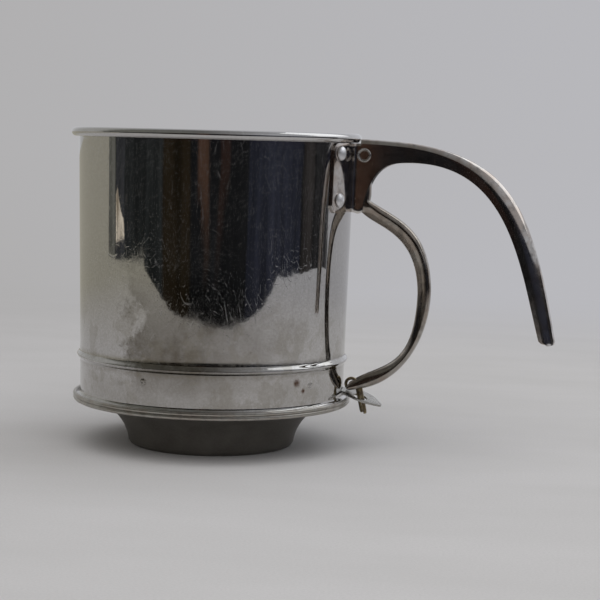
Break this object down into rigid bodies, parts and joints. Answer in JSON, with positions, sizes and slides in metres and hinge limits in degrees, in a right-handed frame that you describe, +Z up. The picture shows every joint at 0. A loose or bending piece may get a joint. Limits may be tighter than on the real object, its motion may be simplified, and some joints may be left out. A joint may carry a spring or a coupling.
{
  "type": "flour sifter",
  "caption": "Squeeze-handle flour sifter: open metal cup over a sieve and flared foot, with a spring-back trigger that swings a wire agitator.",
  "frame": {"origin": "on the cup's axis, in the plane of the foot's lower edge, at the mouth of the outlet", "axes": "+Z up along the cup's axis, +X from the cup towards the handle, so the agitator is swung in the XY plane"},
  "size_m": [0.198, 0.1176, 0.1282],
  "materials": {
    "polished_cup": "mirror-polished stainless sheet, smudged and water-stained",
    "polished_handle": "mirror-polished pressed steel",
    "polished_trigger": "polished pressed steel, duller inside",
    "dull_foot": "dark, matte, unpolished spun steel",
    "mesh_wire": "plain-woven wire cloth",
    "plain_steel": "plain stamped steel",
    "link_strip": "smooth rolled steel strip",
    "spring_wire": "drawn spring wire",
    "bright_rivet": "bright satin rivet",
    "cotter_brass": "aged dull brass"
  },
  "bodies": {
    "sifter": {"cup_body": "polished_cup", "seam_ring": "polished_cup", "foot_funnel": "dull_foot", "sieve_screen": "mesh_wire", "bridge_strap": "plain_steel", "pivot_stud": "plain_steel", "upper_washer": "plain_steel", "retaining_ring": "plain_steel", "handle": "polished_handle", "handle_rivets": "bright_rivet", "pivot_rivet": "bright_rivet", "return_spring": "spring_wire"},
    "trigger": {"trigger": "polished_trigger", "cotter_pin": "cotter_brass"},
    "agitator": {"agitator_hub": "plain_steel", "agitator_disc": "plain_steel", "agitator_loops": "spring_wire", "crank_pin": "plain_steel", "link_washer": "plain_steel"},
    "link": {"drive_link": "link_strip"}
  },
  "joints": [
    {"name": "trigger_squeeze", "type": "hinge", "parent": "sifter", "child": "trigger", "pos_m": [0.0606, 0, 0.1198], "axis": [0, -1, 0], "range_deg": [0, 10], "stiffness_Nm_per_rad": 0.4, "springref_deg": -28.65, "deforming": ["return_spring"]},
    {"name": "agitator_turn", "type": "hinge", "parent": "sifter", "child": "agitator", "pos_m": [0, 0, 0.0249], "axis": [0, 0, -1], "range_deg": [0, 49]},
    {"name": "link_swing", "type": "hinge", "parent": "agitator", "child": "link", "pos_m": [-0.00898, 0.02008, 0.024], "axis": [0, 0, 1], "range_deg": [0, 49]}
  ],
  "couplings": [
    {"joint": "agitator_turn", "follows": "trigger_squeeze", "ratio": 4.82},
    {"joint": "link_swing", "follows": "trigger_squeeze", "ratio": 4.82}
  ]
}
